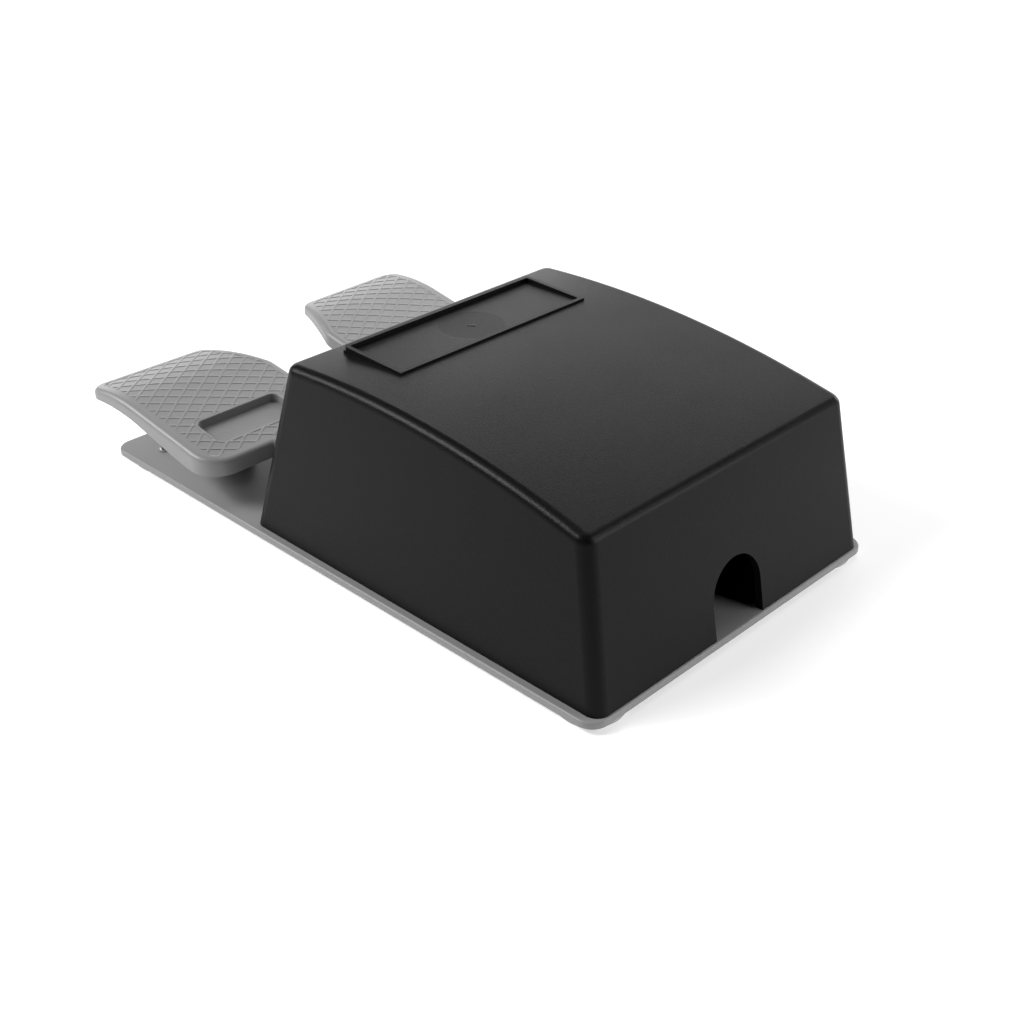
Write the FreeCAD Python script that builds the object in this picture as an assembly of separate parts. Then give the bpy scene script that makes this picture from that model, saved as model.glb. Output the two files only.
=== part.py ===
"""A foot switch with two pedals on a steel plate, under a moulded cover.

Millimetres, +Z up. The pedals point towards -Y and the cable leaves towards +Y. While the pieces
are made, Y is measured from the middle of the plate and X from its centre line. At the end all
pieces move together, so that the origin lies under the middle of the whole switch.
Each pedal is drawn level and then turned about the pivot shaft to its own rest angle.
"""
import FreeCAD, Part
import math
import os

os.makedirs("parts", exist_ok=True)

Vec = FreeCAD.Vector

# Fits
running_gap = 0.05
screw_gap = 0.06
press_gap = 0.03
seat_gap = 0.1
tool_reach = 30.0

# Base plate and its feet
plate_length = 210.0
plate_width = 120.0
plate_thickness = 2.0
plate_corner_radius = 5.3
plate_edge_radius = 0.7
foot_height = 2.0
foot_diameter = 18.0
foot_edge_radius = 0.6
foot_side_inset = 9.9
foot_front_inset = 14.1
foot_rear_inset = 9.5
foot_recess_diameter = 8.0
foot_recess_depth = 1.3

# Tubular rivets that hold the feet
rivet_diameter = 2.7
rivet_bore = 1.5
rivet_head_diameter = 6.0
rivet_head_thickness = 0.5
rivet_curl_diameter = 3.6
rivet_curl_height = 0.5

# Cover
cover_front_reach = 17.4
cover_side_ledge = 2.4
cover_rear_ledge = 0.7
cover_front_height = 55.1
cover_rear_height = 46.3
cover_camber = 4.57
cover_side_draft = 4.68
cover_front_draft = 15.67
cover_rear_draft = 10.64
cover_wall = 2.2
cover_corner_radius = 4.0
cover_edge_radius = 3.0
cover_rib_thickness = 1.6
cover_rib_depth = 3.0
cover_rib_count = 4
cover_boss_diameter = 7.6
cover_boss_height = 22.0
cover_boss_side_inset = 7.0
cover_boss_front_inset = 39.4
cover_boss_rear_inset = 26.3

# Cable arch in the cover's rear wall
arch_width = 20.5
arch_spring_height = 10.0

# Blank label frame on the cover's top
label_length = 74.0
label_depth = 24.0
label_middle_inset = 33.7
label_rim = 1.3
label_rim_height = 57.3
label_rim_tilt = 1.5
label_floor_height = 56.3
label_corner_radius = 1.5
label_backing = 1.6

# Screws that hold the cover, from below
cover_screw_diameter = 3.5
cover_screw_head_diameter = 6.6
cover_screw_head_height = 1.5
cover_screw_length = 14.0

# Cross recesses in the screw heads
recess_span = 0.55
recess_width = 0.16
recess_depth = 1.0

# Pivot shaft, bushes and clips
pivot_y = -15.0
pivot_height = 8.0
shaft_diameter = 6.0
shaft_end_margin = 1.8
bush_wall = 1.0
bush_flange_diameter = 11.0
bush_flange_thickness = 1.0
clip_thickness = 0.8
clip_diameter = 10.0
groove_depth = 0.6
clip_mouth = 4.2

# Pedal pads, drawn level
pedal_outer_x = 64.6
pedal_inner_x = 11.5
pedal_nose_x = 21.7
pedal_nose_overhang = 1.3
pedal_tip_overhang = 2.8
pedal_kink_inset = 24.5
pedal_rear_inset = 62.7
tip_radius = 6.0
nose_radius = 5.0
kink_radius = 7.0
rear_radius = 9.5
pedal_crest_inset = 12.5
pedal_crest_height = 25.3
pedal_crown_radius = 62.0
pedal_fall = 9.37
pedal_edge_radius = 1.8
pedal_wall = 2.2
pedal_web = 2.4
skirt_front_height = 20.4
skirt_crest_height = 21.3
skirt_middle_height = 19.75
skirt_low_height = 15.5
skirt_swell_height = 13.25
skirt_rear_height = 12.7
skirt_front_run = 11.5
skirt_straight_run = 17.0
pedal_rib_thickness = 1.6
pedal_rib_pitch = 13.0

# Sunk field in the pad
field_outer_x = 53.8
field_inner_x = 23.4
field_front_inset = 40.8
field_rear_inset = 54.0
field_depth = 2.8
field_floor = 1.8
field_radius = 2.5
field_lip_radius = 0.4

# Tread: two families of thin ribs with sunk diamonds between them
tread_angle = 37.1
tread_pitch = 4.15
tread_rib = 0.7
tread_depth = 0.12
tread_middle_inset = 33.6
tread_margin = 3.0
tread_outer_margin = 3.9
tread_field_margin = 1.0

# Pedal arm, hub and tail
arm_outer_x = 40.5
arm_width = 18.0
arm_root_radius = 1.0
hub_diameter = 12.6
tail_length = 35.0
tail_thickness = 5.0
tail_height = 8.0
tail_rib_depth = 3.0

# Finger on the tail that lifts the switch lever
finger_back = 26.0
finger_height = 10.4
finger_diameter = 5.2
finger_tip_x = 6.0

# Rest angles and the end of the press, from level, front down
left_rest_angle = -1.0
right_rest_angle = 1.15
press_end_angle = 6.0

# Pivot brackets, folded from sheet
bracket_sheet = 1.5
bracket_front_y = -24.0
bracket_rear_y = -6.0
bracket_height = 31.5
bridge_front_y = 4.0
bridge_rear_y = 18.5
bridge_skirt = 8.0
bracket_flange = 8.6
bracket_corner_radius = 3.0
bracket_screw_spacing = 10.0

# Pan head screws that hold the brackets
bracket_screw_diameter = 4.0
pan_head_diameter = 7.0
pan_head_height = 2.4

# Return springs and their seats
spring_back = 27.0
spring_x = 27.9
spring_wire = 1.0
spring_diameter = 9.0
spring_turns = 6
spring_peg_diameter = 5.6
spring_peg_height = 2.5
spring_seat_diameter = 10.0
spring_seat_flange = 1.0
spring_stud_diameter = 4.0

# Rest stop screws, their nuts and pads
stop_back = 30.0
stop_x = 36.6
stop_screw_diameter = 4.0
stop_screw_length = 16.5
stop_tip_radius = 2.6
stop_nut_width = 7.0
stop_nut_height = 3.2
stop_pad_diameter = 9.0
stop_pad_height = 1.5

# Bump stops under the pads
bump_inset = 37.0
bump_diameter = 12.0
bump_height = 4.0
bump_stem_diameter = 4.0
bump_boss_diameter = 8.0
bump_gap = 0.3

# Snap switches, one on each side of their bracket
switch_length = 49.2
switch_middle_y = 36.0
switch_case_thickness = 14.5
switch_lid_thickness = 2.95
switch_underside_height = 19.5
switch_body_height = 19.0
switch_barrier_height = 5.2
switch_barrier = 1.5
switch_corner_radius = 1.5
switch_hole_spacing = 25.4
switch_hole_height = 9.7
lid_inset = 0.8

# Switch lever, pin and plunger
lever_pivot_inset = 2.2
lever_pivot_drop = 1.9
lever_width = 9.0
lever_sheet = 0.8
lever_barrel_diameter = 3.4
lever_tip_y = 7.0
lever_gap = 0.15
pin_diameter = 2.0
ear_thickness = 1.6
ear_gap = 0.15
plunger_diameter = 3.6
plunger_depth = 6.0

# Terminals on top of the switches
terminal_length = 9.0
terminal_width = 11.0
terminal_thickness = 1.2
terminal_screw_diameter = 3.5
terminal_screw_depth = 4.0
terminal_head_diameter = 7.0
terminal_head_height = 2.4

# Switch bracket and the screws through both switches
upright_thickness = 2.0
upright_margin = 1.5
upright_height = 38.0
tab_length = 12.0
tab_width = 12.0
tab_thickness = 2.0
switch_screw_diameter = 4.0
switch_nut_width = 7.0
switch_nut_height = 3.2

# Levels and places that follow from the sizes above
plate_bottom = foot_height
plate_top = foot_height + plate_thickness
plate_front_y = -plate_length / 2
plate_rear_y = plate_length / 2
foot_x = plate_width / 2 - foot_side_inset
foot_places = [(side * foot_x, y) for side in (1, -1)
               for y in (plate_front_y + foot_front_inset, plate_rear_y - foot_rear_inset)]
cover_half_width = plate_width / 2 - cover_side_ledge
cover_rear_y = plate_rear_y - cover_rear_ledge
cover_front_y = pivot_y - cover_front_reach
cover_length = cover_rear_y - cover_front_y
cover_boss_front_y = cover_front_y + cover_boss_front_inset
cover_boss_rear_y = cover_rear_y - cover_boss_rear_inset
label_middle_y = cover_front_y + label_middle_inset
pedal_crest_y = plate_front_y + pedal_crest_inset
pedal_kink_y = plate_front_y + pedal_kink_inset
pedal_rear_y = plate_front_y + pedal_rear_inset
tread_middle_y = plate_front_y + tread_middle_inset
field_front_y = plate_front_y + field_front_inset
field_rear_y = plate_front_y + field_rear_inset
bump_y = plate_front_y + bump_inset
cover_boss_x = cover_half_width - cover_boss_side_inset
cover_boss_places = [(side * cover_boss_x, y) for side in (1, -1)
                     for y in (cover_boss_front_y, cover_boss_rear_y)]
pivot_z = plate_top + pivot_height
arm_inner_x = arm_outer_x - arm_width
ear_inner_x = arm_inner_x - bush_flange_thickness - seat_gap
ear_outer_x = arm_outer_x + bush_flange_thickness + seat_gap
shaft_groove_x = ear_outer_x + bracket_sheet + seat_gap
shaft_half = shaft_groove_x + clip_thickness + shaft_end_margin
tail_top = plate_top + tail_height + tail_thickness
tail_rear_y = pivot_y + tail_length
bridge_bottom = plate_top + bracket_height - bracket_sheet
spring_y = pivot_y + spring_back
stop_y = pivot_y + stop_back
stop_pad_top = plate_top + stop_pad_height
bump_x = (pedal_outer_x + pedal_inner_x) / 2
bump_top = plate_top + bump_height
switch_inner_x = upright_thickness / 2
switch_joint_x = switch_inner_x + switch_case_thickness
switch_outer_x = switch_joint_x + switch_lid_thickness
switch_front_y = switch_middle_y - switch_length / 2
switch_rear_y = switch_middle_y + switch_length / 2
switch_bottom = plate_top + switch_underside_height
switch_deck = switch_bottom + switch_body_height
switch_hole_z = switch_bottom + switch_hole_height
switch_hole_ys = [switch_middle_y - switch_hole_spacing / 2, switch_middle_y + switch_hole_spacing / 2]
lever_middle_x = (switch_inner_x + switch_joint_x) / 2
lever_pivot_y = switch_rear_y - lever_pivot_inset
lever_pivot_z = switch_bottom - lever_pivot_drop
finger_y = pivot_y + finger_back
finger_z = plate_top + finger_height
bay_length = (switch_length - switch_barrier) / 3
bay_ys = [switch_middle_y + step * bay_length for step in (-1, 0, 1)]
tab_places = [(1, switch_front_y + tab_length / 2 + 3.0),
              (-1, switch_middle_y),
              (1, switch_rear_y - tab_length / 2 - 1.0)]
bracket_screw_ys = [(bracket_front_y + bracket_rear_y) / 2 + step * bracket_screw_spacing / 2
                    for step in (-1, 1)]
bracket_screw_xs = [ear_inner_x - bracket_sheet - bracket_flange / 2,
                    ear_outer_x + bracket_sheet + bracket_flange / 2]


def block(x0, x1, y0, y1, z0, z1):
    """A block between two opposite corners."""
    return Part.makeBox(x1 - x0, y1 - y0, z1 - z0, Vec(x0, y0, z0))


def rod_x(diameter, x0, x1, y, z):
    """A round rod along X."""
    return Part.makeCylinder(diameter / 2, x1 - x0, Vec(x0, y, z), Vec(1, 0, 0))


def rod_z(diameter, z0, z1, x, y):
    """An upright round rod."""
    return Part.makeCylinder(diameter / 2, z1 - z0, Vec(x, y, z0))


def rounded_wire(corners):
    """A closed wire round (point, radius) corners, with an arc at each corner that has a radius."""
    stretches = []
    for index, (point, radius) in enumerate(corners):
        back = (corners[index - 1][0] - point).normalize()
        ahead = (corners[(index + 1) % len(corners)][0] - point).normalize()
        if radius <= 0:
            stretches.append((point, None, point))
            continue
        half = back.getAngle(ahead) / 2
        reach = radius / math.tan(half)
        middle = point + (back + ahead).normalize() * (radius / math.sin(half) - radius)
        stretches.append((point + back * reach, middle, point + ahead * reach))
    edges = []
    for index, (start, middle, end) in enumerate(stretches):
        if middle is not None:
            edges.append(Part.Arc(start, middle, end).toShape())
        following = stretches[(index + 1) % len(stretches)][0]
        if end.distanceToPoint(following) > 1e-6:
            edges.append(Part.makeLine(end, following))
    return Part.Wire(edges)


def plan_prism(corners, z0, z1):
    """An upright prism on (x, y, radius) corners."""
    wire = rounded_wire([(Vec(x, y, z0), radius) for x, y, radius in corners])
    return Part.Face(wire).extrude(Vec(0, 0, z1 - z0))


def side_prism(corners, x0, x1):
    """A prism along X on (y, z, radius) corners."""
    wire = rounded_wire([(Vec(x0, y, z), radius) for y, z, radius in corners])
    return Part.Face(wire).extrude(Vec(x1 - x0, 0, 0))


def rectangle(x0, x1, y0, y1, radius):
    """The (x, y, radius) corners of a rectangle."""
    return [(x0, y0, radius), (x1, y0, radius), (x1, y1, radius), (x0, y1, radius)]


def turned(profile, x, y):
    """A solid of revolution about an upright axis, from (radius, z) points."""
    points = [Vec(x + radius, y, z) for radius, z in profile]
    face = Part.Face(Part.makePolygon(points + points[:1]))
    return face.revolve(Vec(x, y, 0), Vec(0, 0, 1), 360)


def about_pivot(shape, angle):
    """The shape turned about the pivot shaft by an angle in degrees, front down."""
    return shape.rotated(Vec(0, pivot_y, pivot_z), Vec(1, 0, 0), angle)


def point_about_pivot(y, z, angle):
    """Where a point of the level pedal lies once the pedal has turned by an angle in degrees."""
    turn = math.radians(angle)
    dy = y - pivot_y
    dz = z - pivot_z
    return (pivot_y + dy * math.cos(turn) - dz * math.sin(turn),
            pivot_z + dy * math.sin(turn) + dz * math.cos(turn))


def mirrored(shape):
    """The shape on the other side of the centre line."""
    return shape.mirror(Vec(0, 0, 0), Vec(1, 0, 0))


def hexagon_prism(width, height, base, axis):
    """A hexagonal nut blank across flats, standing on a base point along an axis."""
    radius = width / math.sqrt(3)
    points = [Vec(radius * math.cos(math.radians(60 * k)), radius * math.sin(math.radians(60 * k)), 0)
              for k in range(6)]
    nut = Part.Face(Part.makePolygon(points + points[:1])).extrude(Vec(0, 0, height))
    nut.Placement = FreeCAD.Placement(base, FreeCAD.Rotation(Vec(0, 0, 1), axis))
    return nut


def cross_recess(x, y, mouth_z, depth, head_diameter):
    """The tool for a cross recess that goes from its mouth by a depth, upwards where that is positive."""
    reach = head_diameter * recess_span / 2
    half = head_diameter * recess_width / 2
    low, high = sorted((mouth_z, mouth_z + depth))
    return block(x - reach, x + reach, y - half, y + half, low, high).fuse(
        block(x - half, x + half, y - reach, y + reach, low, high))


def pan_screw(x, y, seat_z, tip_z, diameter, head_diameter, head_height):
    """An upright screw with a low domed head that sits on seat_z."""
    radius = head_diameter / 2
    dome = 0.35 * head_height
    head = turned([(0, seat_z), (radius, seat_z), (radius, seat_z + head_height - dome),
                   (radius - dome, seat_z + head_height), (0, seat_z + head_height)], x, y)
    head = head.cut(cross_recess(x, y, seat_z + head_height, -recess_depth, head_diameter))
    return head.fuse(rod_z(diameter, tip_z, seat_z, x, y)).removeSplitter()


def base_plate():
    """The sheet that carries everything, with its holes."""
    half = plate_width / 2
    corners = rectangle(-half, half, plate_front_y, plate_rear_y, plate_corner_radius)
    plate = plan_prism(corners, plate_bottom, plate_top)
    rim = [edge for edge in plate.Edges
           if abs(edge.BoundBox.ZMin - plate_top) < 1e-6]
    plate = plate.makeFillet(plate_edge_radius, rim)
    holes = []
    for x, y in foot_places:
        holes.append(rod_z(rivet_diameter + 2 * screw_gap, 0, plate_top, x, y))
    for x, y in cover_boss_places:
        holes.append(rod_z(cover_screw_diameter + 2 * screw_gap, 0, plate_top, x, y))
        holes.append(countersink(x, y, screw_gap))
    for side in (1, -1):
        for x in bracket_screw_xs:
            for y in bracket_screw_ys:
                holes.append(rod_z(bracket_screw_diameter + 2 * screw_gap, 0, plate_top, side * x, y))
        holes.append(rod_z(bump_stem_diameter + 2 * screw_gap, 0, plate_top, side * bump_x, bump_y))
    for side, y in tab_places:
        x = side * (switch_inner_x + tab_width / 2)
        holes.append(rod_z(bracket_screw_diameter + 2 * screw_gap, 0, plate_top, x, y))
    return plate.cut(holes)


def countersink(x, y, gap):
    """The cone of a countersunk head, flush with the plate's underside."""
    small = cover_screw_diameter / 2 + gap
    large = cover_screw_head_diameter / 2 + gap
    return Part.makeCone(large, small, cover_screw_head_height, Vec(x, y, plate_bottom))


def feet():
    """Four round feet, each with a recess for its rivet."""
    radius = foot_diameter / 2
    result = []
    for x, y in foot_places:
        foot = turned([(0, 0), (radius - foot_edge_radius, 0), (radius, foot_edge_radius),
                       (radius, foot_height), (0, foot_height)], x, y)
        foot = foot.cut(rod_z(foot_recess_diameter, 0, foot_recess_depth, x, y))
        result.append(foot.cut(rod_z(rivet_diameter + 2 * screw_gap, 0, foot_height, x, y)))
    return Part.makeCompound(result)


def foot_rivets():
    """Tubular rivets from the feet's recesses, curled over on the plate's top."""
    outer = rivet_diameter / 2
    inner = rivet_bore / 2
    head = rivet_head_diameter / 2
    curl = rivet_curl_diameter / 2
    low = foot_recess_depth - rivet_head_thickness
    top = plate_top + rivet_curl_height
    middle = (inner + curl) / 2
    profile = [(inner, low), (head, low), (head, foot_recess_depth), (outer, foot_recess_depth),
               (outer, plate_top), (curl, plate_top), (curl, plate_top + rivet_curl_height / 2),
               (middle, top), (inner, plate_top + rivet_curl_height / 2)]
    return Part.makeCompound([turned(profile, x, y) for x, y in foot_places])


def camber_circle():
    """Centre and radius, in Y and Z, of the arc along the cover's top."""
    front = (cover_front_y + cover_front_height * math.tan(math.radians(cover_front_draft)),
             plate_top + cover_front_height)
    rear = (cover_rear_y - cover_rear_height * math.tan(math.radians(cover_rear_draft)),
            plate_top + cover_rear_height)
    chord = math.dist(front, rear)
    radius = chord ** 2 / (8 * cover_camber) + cover_camber / 2
    down = ((rear[1] - front[1]) / chord, -(rear[0] - front[0]) / chord)
    sink = radius - cover_camber
    centre = ((front[0] + rear[0]) / 2 + down[0] * sink, (front[1] + rear[1]) / 2 + down[1] * sink)
    return centre, radius


def arc_prism(centre_y, centre_z, radius):
    """All that lies under an arc along the cover, as wide as the cover."""
    crest = Vec(-cover_half_width, centre_y, centre_z + radius)
    ends = []
    for y in (cover_front_y - 1, cover_rear_y + 1):
        ends.append(Vec(-cover_half_width, y, centre_z + math.sqrt(radius ** 2 - (y - centre_y) ** 2)))
    feet = [Vec(end.x, end.y, 0) for end in ends]
    wire = Part.Wire([Part.Arc(ends[0], crest, ends[1]).toShape(), Part.makeLine(ends[1], feet[1]),
                      Part.makeLine(feet[1], feet[0]), Part.makeLine(feet[0], ends[0])])
    return Part.Face(wire).extrude(Vec(2 * cover_half_width, 0, 0))


def cover_form(inset, corner_radius, edge_radius, foot_z):
    """The cover's outer form, drawn in by an inset: drafted walls under a cambered top."""
    (centre_y, centre_z), camber_radius = camber_circle()
    side = math.radians(cover_side_draft)
    front = math.radians(cover_front_draft)
    rear = math.radians(cover_rear_draft)
    over_z = plate_top + cover_front_height + 2 * cover_camber
    rise = over_z - plate_top
    drop = foot_z - plate_top
    half = cover_half_width - inset / math.cos(side)
    low_y = cover_front_y + inset / math.cos(front)
    high_y = cover_rear_y - inset / math.cos(rear)
    walls = side_prism([(low_y + drop * math.tan(front), foot_z, 0),
                        (high_y - drop * math.tan(rear), foot_z, 0),
                        (high_y - rise * math.tan(rear), over_z, 0),
                        (low_y + rise * math.tan(front), over_z, 0)],
                       -cover_half_width, cover_half_width)
    across = Part.makePolygon([Vec(-half + drop * math.tan(side), cover_front_y, foot_z),
                               Vec(half - drop * math.tan(side), cover_front_y, foot_z),
                               Vec(half - rise * math.tan(side), cover_front_y, over_z),
                               Vec(-half + rise * math.tan(side), cover_front_y, over_z),
                               Vec(-half + drop * math.tan(side), cover_front_y, foot_z)])
    flanks = Part.Face(across).extrude(Vec(0, cover_length, 0))
    dome = arc_prism(centre_y, centre_z, camber_radius - inset)
    form = walls.common(flanks).common(dome)
    uprights = [edge for edge in form.Edges
                if edge.BoundBox.ZLength > cover_rear_height / 2]
    form = form.makeFillet(corner_radius, uprights)
    crest = [edge for edge in form.Edges
             if edge.BoundBox.ZMin > plate_top + cover_rear_height / 2]
    return form.makeFillet(edge_radius, crest)


def cover_top_z(y):
    """Height of the cover's cambered top."""
    (centre_y, centre_z), radius = camber_circle()
    return centre_z + math.sqrt(radius ** 2 - (y - centre_y) ** 2)


def arch_tool():
    """The round-topped opening for the cable, through the rear wall."""
    spring_z = plate_top + arch_spring_height
    start = cover_rear_y - tool_reach
    half = arch_width / 2
    outline = Part.Wire([
        Part.makeLine(Vec(-half, start, plate_bottom), Vec(half, start, plate_bottom)),
        Part.makeLine(Vec(half, start, plate_bottom), Vec(half, start, spring_z)),
        Part.Arc(Vec(half, start, spring_z), Vec(0, start, spring_z + half),
                 Vec(-half, start, spring_z)).toShape(),
        Part.makeLine(Vec(-half, start, spring_z), Vec(-half, start, plate_bottom))])
    return Part.Face(outline).extrude(Vec(0, 2 * tool_reach, 0))


def arm_slot(side):
    """The notch in the cover's front wall that clears a pedal arm."""
    clear = 1.2
    top = plate_top + 21.0
    low = min(side * (arm_inner_x - clear), side * (arm_outer_x + clear))
    high = max(side * (arm_inner_x - clear), side * (arm_outer_x + clear))
    wire = rounded_wire([(Vec(low, cover_front_y - 1, plate_bottom), 0),
                         (Vec(high, cover_front_y - 1, plate_bottom), 0),
                         (Vec(high, cover_front_y - 1, top), 2.0),
                         (Vec(low, cover_front_y - 1, top), 2.0)])
    return Part.Face(wire).extrude(Vec(0, tool_reach / 2, 0))


def cover():
    """The moulded shell, with its label frame, screw bosses and ribs."""
    outer = cover_form(0, cover_corner_radius, cover_edge_radius, plate_top)
    inner = cover_form(cover_wall, cover_corner_radius - cover_wall, cover_edge_radius - cover_wall,
                       plate_bottom)
    shell = outer.cut(inner)
    half = label_length / 2
    y0 = label_middle_y - label_depth / 2
    y1 = label_middle_y + label_depth / 2
    floor = plate_top + label_floor_height
    crown = plate_top + label_rim_height
    high = crown + tool_reach / 2
    rim = plan_prism([(-half, y0, label_corner_radius), (half, y0, label_corner_radius),
                      (half, y1, 0), (-half, y1, 0)], floor, high)
    sky = block(-half - 1, half + 1, y0 - 1, y1 + 1, 0, tool_reach)
    sky = sky.rotated(Vec(0, y0, 0), Vec(1, 0, 0), -label_rim_tilt)
    sky.translate(Vec(0, 0, crown + label_depth * math.tan(math.radians(label_rim_tilt)) / 2))
    rim = rim.cut(sky)
    backing = block(-half, half, y0, y1, floor - label_backing, floor)
    additions = [rim, backing]
    for number in range(cover_rib_count):
        y = y1 + 14.0 + number * 18.0
        top = cover_top_z(y) - cover_wall / 2
        depth = cover_rib_depth + cover_wall / 2
        rib = block(-cover_half_width, cover_half_width, y, y + cover_rib_thickness, top - depth, top)
        additions.append(rib.common(outer))
    for x, y in cover_boss_places:
        additions.append(rod_z(cover_boss_diameter, plate_top, plate_top + cover_boss_height, x, y))
        wall_x = math.copysign(cover_half_width, x)
        web = block(min(x, wall_x), max(x, wall_x), y - cover_rib_thickness / 2,
                    y + cover_rib_thickness / 2, plate_top, plate_top + cover_boss_height)
        additions.append(web.common(outer))
    shell = shell.fuse(additions)
    well = plan_prism(rectangle(-half + label_rim, half - label_rim, y0 + label_rim, y1 - label_rim, 0.5),
                      floor, high)
    holes = [well, arch_tool(), arm_slot(1), arm_slot(-1)]
    for x, y in cover_boss_places:
        holes.append(rod_z(cover_screw_diameter + 2 * screw_gap, plate_top,
                           plate_bottom + cover_screw_length + 2, x, y))
    return shell.cut(holes).removeSplitter()


def cover_screws():
    """Countersunk screws from below into the cover's bosses."""
    result = []
    for x, y in cover_boss_places:
        shank = rod_z(cover_screw_diameter, plate_bottom, plate_bottom + cover_screw_length, x, y)
        screw = countersink(x, y, 0).fuse(shank).removeSplitter()
        result.append(screw.cut(cross_recess(x, y, plate_bottom, recess_depth, cover_screw_head_diameter)))
    return Part.makeCompound(result)


def crown_centre():
    """Centre, in Y and Z, of the arc along the pad's crown."""
    return pedal_crest_y, plate_top + pedal_crest_height - pedal_crown_radius


def pedal_top_z(y):
    """Height of the level pedal's top."""
    centre_y, centre_z = crown_centre()
    fall = math.radians(pedal_fall)
    tangent_y = centre_y + pedal_crown_radius * math.sin(fall)
    if y < tangent_y:
        return centre_z + math.sqrt(pedal_crown_radius ** 2 - (y - centre_y) ** 2)
    return centre_z + pedal_crown_radius * math.cos(fall) - (y - tangent_y) * math.tan(fall)


def under_top(inset):
    """All that lies below the pedal's top, lowered by an inset square to it."""
    centre_y, centre_z = crown_centre()
    fall = math.radians(pedal_fall)
    radius = pedal_crown_radius - inset
    front_y = plate_front_y - tool_reach / 2
    front_z = centre_z + math.sqrt(radius ** 2 - (front_y - centre_y) ** 2)
    lean = math.radians(-pedal_fall / 2)
    tangent = Vec(0, centre_y + radius * math.sin(fall), centre_z + radius * math.cos(fall))
    end_y = pivot_y + tool_reach
    end_z = tangent.z - (end_y - tangent.y) * math.tan(fall)
    middle = Vec(0, centre_y + radius * math.sin(lean), centre_z + radius * math.cos(lean))
    wire = Part.Wire([
        Part.Arc(Vec(0, front_y, front_z), middle, tangent).toShape(),
        Part.makeLine(tangent, Vec(0, end_y, end_z)),
        Part.makeLine(Vec(0, end_y, end_z), Vec(0, end_y, -tool_reach)),
        Part.makeLine(Vec(0, end_y, -tool_reach), Vec(0, front_y, -tool_reach)),
        Part.makeLine(Vec(0, front_y, -tool_reach), Vec(0, front_y, front_z))])
    return Part.Face(wire).extrude(Vec(pedal_outer_x + 1, 0, 0))


def over_skirt():
    """All that lies above the skirt's lower edge, which swells down towards the arm."""
    front_y = plate_front_y - tool_reach / 2
    arc_end = Vec(0, pedal_crest_y + skirt_front_run, plate_top + skirt_middle_height)
    line_end = Vec(0, arc_end.y + skirt_straight_run, plate_top + skirt_low_height)
    rear = Vec(0, pedal_rear_y, plate_top + skirt_rear_height)
    swell = Vec(0, (line_end.y + rear.y) / 2, plate_top + skirt_swell_height)
    hub_low = Vec(0, pivot_y - hub_diameter / 4, pivot_z - hub_diameter * 0.42)
    end_y = pivot_y + tool_reach
    wire = Part.Wire([
        Part.Arc(Vec(0, front_y, plate_top + skirt_front_height - 3.0),
                 Vec(0, pedal_crest_y - 3.0, plate_top + skirt_crest_height), arc_end).toShape(),
        Part.makeLine(arc_end, line_end),
        Part.Arc(line_end, swell, rear).toShape(),
        Part.makeLine(rear, hub_low),
        Part.makeLine(hub_low, Vec(0, end_y, hub_low.z)),
        Part.makeLine(Vec(0, end_y, hub_low.z), Vec(0, end_y, 3 * tool_reach)),
        Part.makeLine(Vec(0, end_y, 3 * tool_reach), Vec(0, front_y, 3 * tool_reach)),
        Part.makeLine(Vec(0, front_y, 3 * tool_reach), Vec(0, front_y, plate_top + skirt_front_height - 3.0))])
    return Part.Face(wire).extrude(Vec(pedal_outer_x + 1, 0, 0))


def pedal_outline():
    """Plan of pad and arm: a slanted nose, round corners, and the arm on its rear edge."""
    corners = [(pedal_outer_x, plate_front_y - pedal_tip_overhang, tip_radius),
               (pedal_outer_x, pedal_rear_y, rear_radius),
               (arm_outer_x, pedal_rear_y, arm_root_radius),
               (arm_outer_x, pivot_y, 0),
               (arm_inner_x, pivot_y, 0),
               (arm_inner_x, pedal_rear_y, arm_root_radius),
               (pedal_inner_x, pedal_rear_y, rear_radius),
               (pedal_inner_x, pedal_kink_y, kink_radius),
               (pedal_nose_x, plate_front_y - pedal_nose_overhang, nose_radius)]
    return rounded_wire([(Vec(x, y, 0), radius) for x, y, radius in corners])


def pedal_shell(outline, roof, floor):
    """Pad and arm as one open-bottomed shell with a rounded upper edge."""
    form = Part.Face(outline).extrude(Vec(0, 0, 3 * tool_reach)).common(roof)
    rim = []
    for edge in form.Edges:
        middle = edge.valueAt((edge.FirstParameter + edge.LastParameter) / 2)
        foot = Part.Vertex(middle.x, middle.y, 0)
        on_outline = outline.distToShape(foot)[0] < 1e-4
        if on_outline and middle.z > 1 and middle.y < pivot_y - 1e-3 and edge.BoundBox.ZLength < 8:
            if abs(middle.z - pedal_top_z(middle.y)) < 0.01:
                rim.append(edge)
    form = form.makeFillet(pedal_edge_radius, rim).common(floor)
    inner = outline.makeOffset2D(-pedal_wall)
    hollow = Part.Face(inner).extrude(Vec(0, 0, 3 * tool_reach)).common(under_top(pedal_web))
    return form, form.cut(hollow)


def pedal_ribs(form):
    """Stiffening ribs under the pad, kept within its outer form."""
    ribs = []
    x = pedal_inner_x + pedal_rib_pitch
    while x < pedal_outer_x - pedal_rib_pitch / 2:
        ribs.append(block(x - pedal_rib_thickness / 2, x + pedal_rib_thickness / 2,
                          plate_front_y, pedal_rear_y, 0, 3 * tool_reach))
        x += pedal_rib_pitch
    y = pedal_rear_y - pedal_rib_pitch
    while y > plate_front_y + pedal_rib_pitch / 2:
        ribs.append(block(pedal_inner_x, pedal_outer_x, y - pedal_rib_thickness / 2,
                          y + pedal_rib_thickness / 2, 0, 3 * tool_reach))
        y -= pedal_rib_pitch
    return [rib.common(form) for rib in ribs]


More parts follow.
